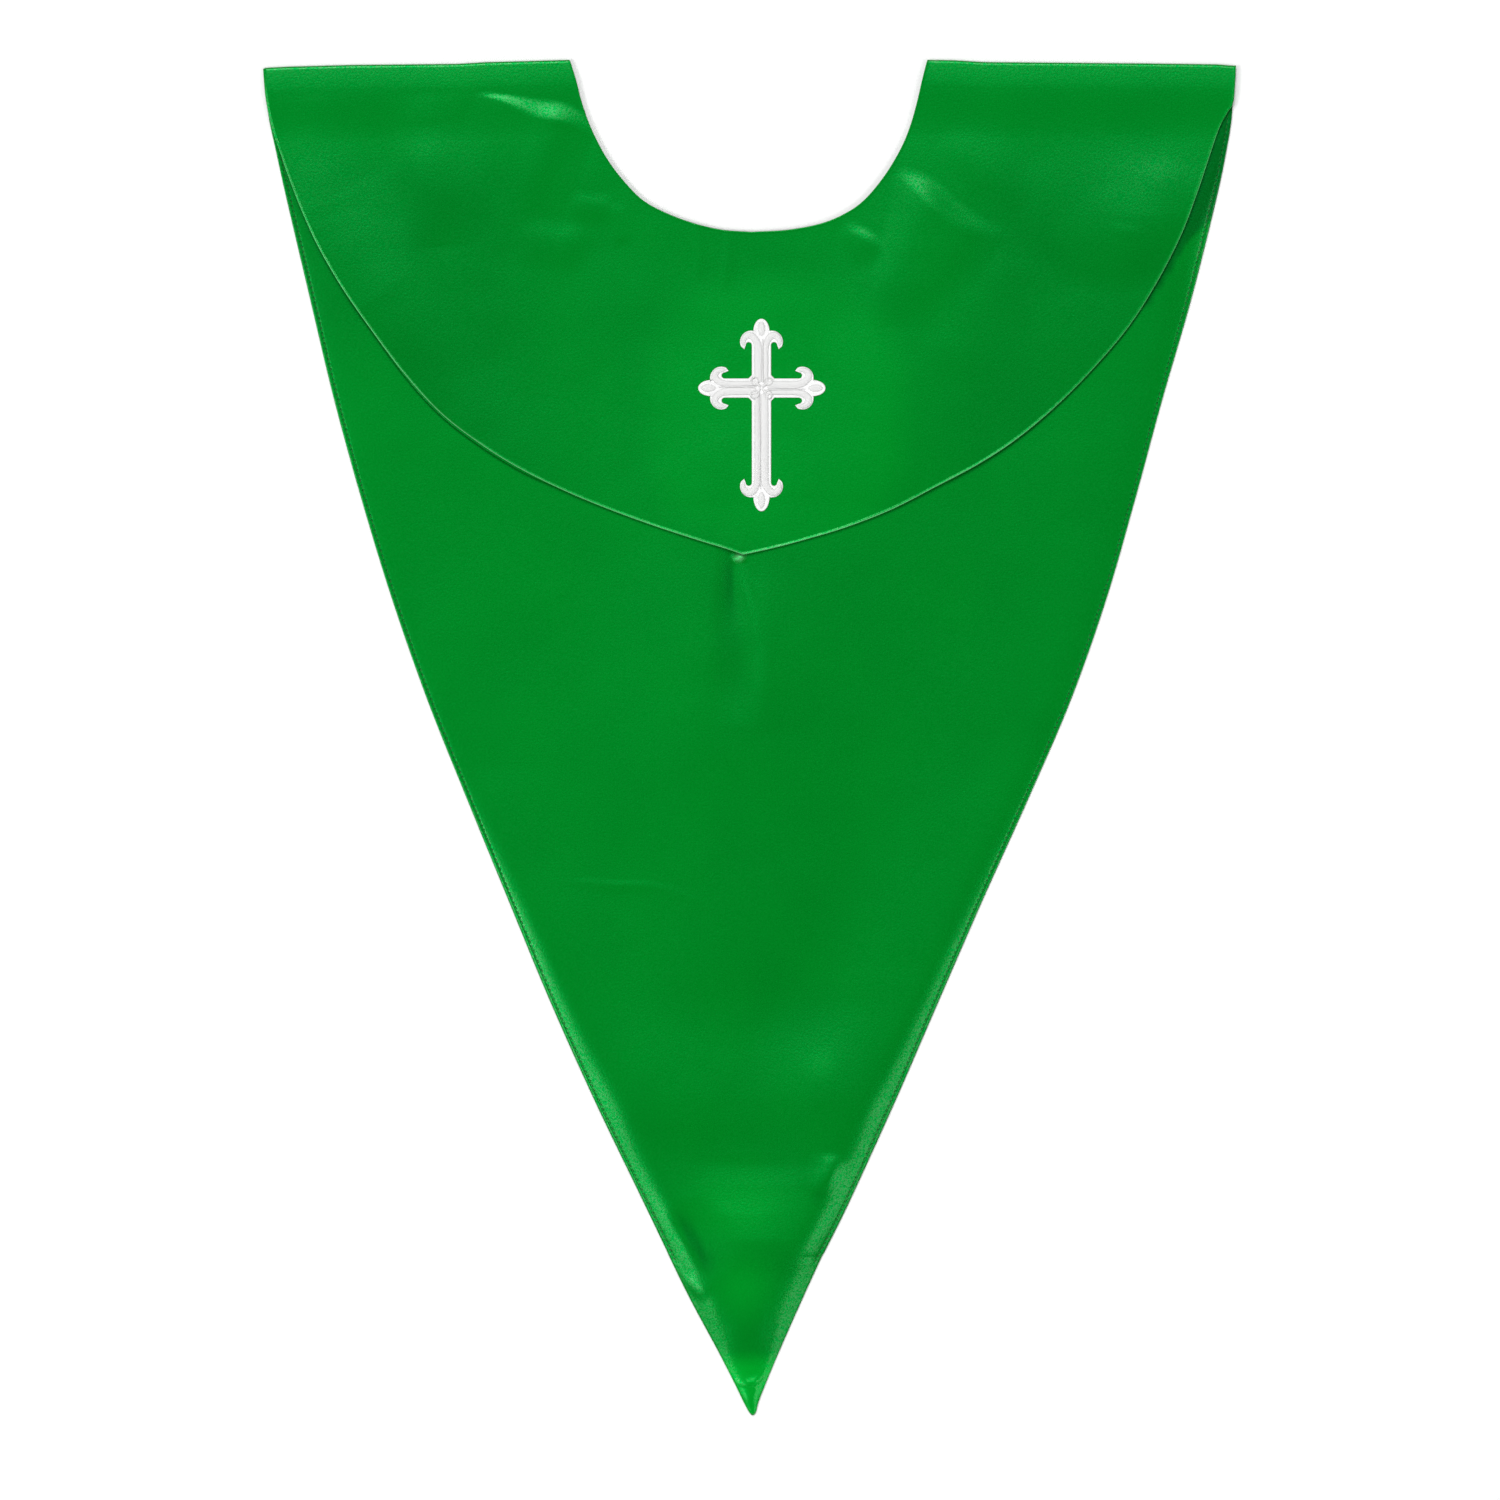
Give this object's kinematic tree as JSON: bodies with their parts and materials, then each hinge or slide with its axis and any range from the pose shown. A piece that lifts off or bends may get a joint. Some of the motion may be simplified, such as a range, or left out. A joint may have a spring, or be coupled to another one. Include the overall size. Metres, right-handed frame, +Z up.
{
  "type": "choir stole",
  "caption": "Green satin choir stole laid flat: long pointed panel under a short rounded yoke with a raised white leafed cross and a round neck opening.",
  "frame": {"origin": "middle of the stole's outline, on the surface it lies on", "axes": "+Y from the point up to the shoulder folds, +X across the shoulders, +Z up from the surface"},
  "size_m": [0.6324, 0.8808, 0.0062],
  "materials": {
    "green_satin": "polyester satin, smooth, with a soft sheen",
    "white_thread": "white satin-stitch thread, raised"
  },
  "bodies": {
    "root": {"long_panel": "green_satin", "short_yoke": "green_satin", "cross_applique": "white_thread"}
  },
  "joints": []
}
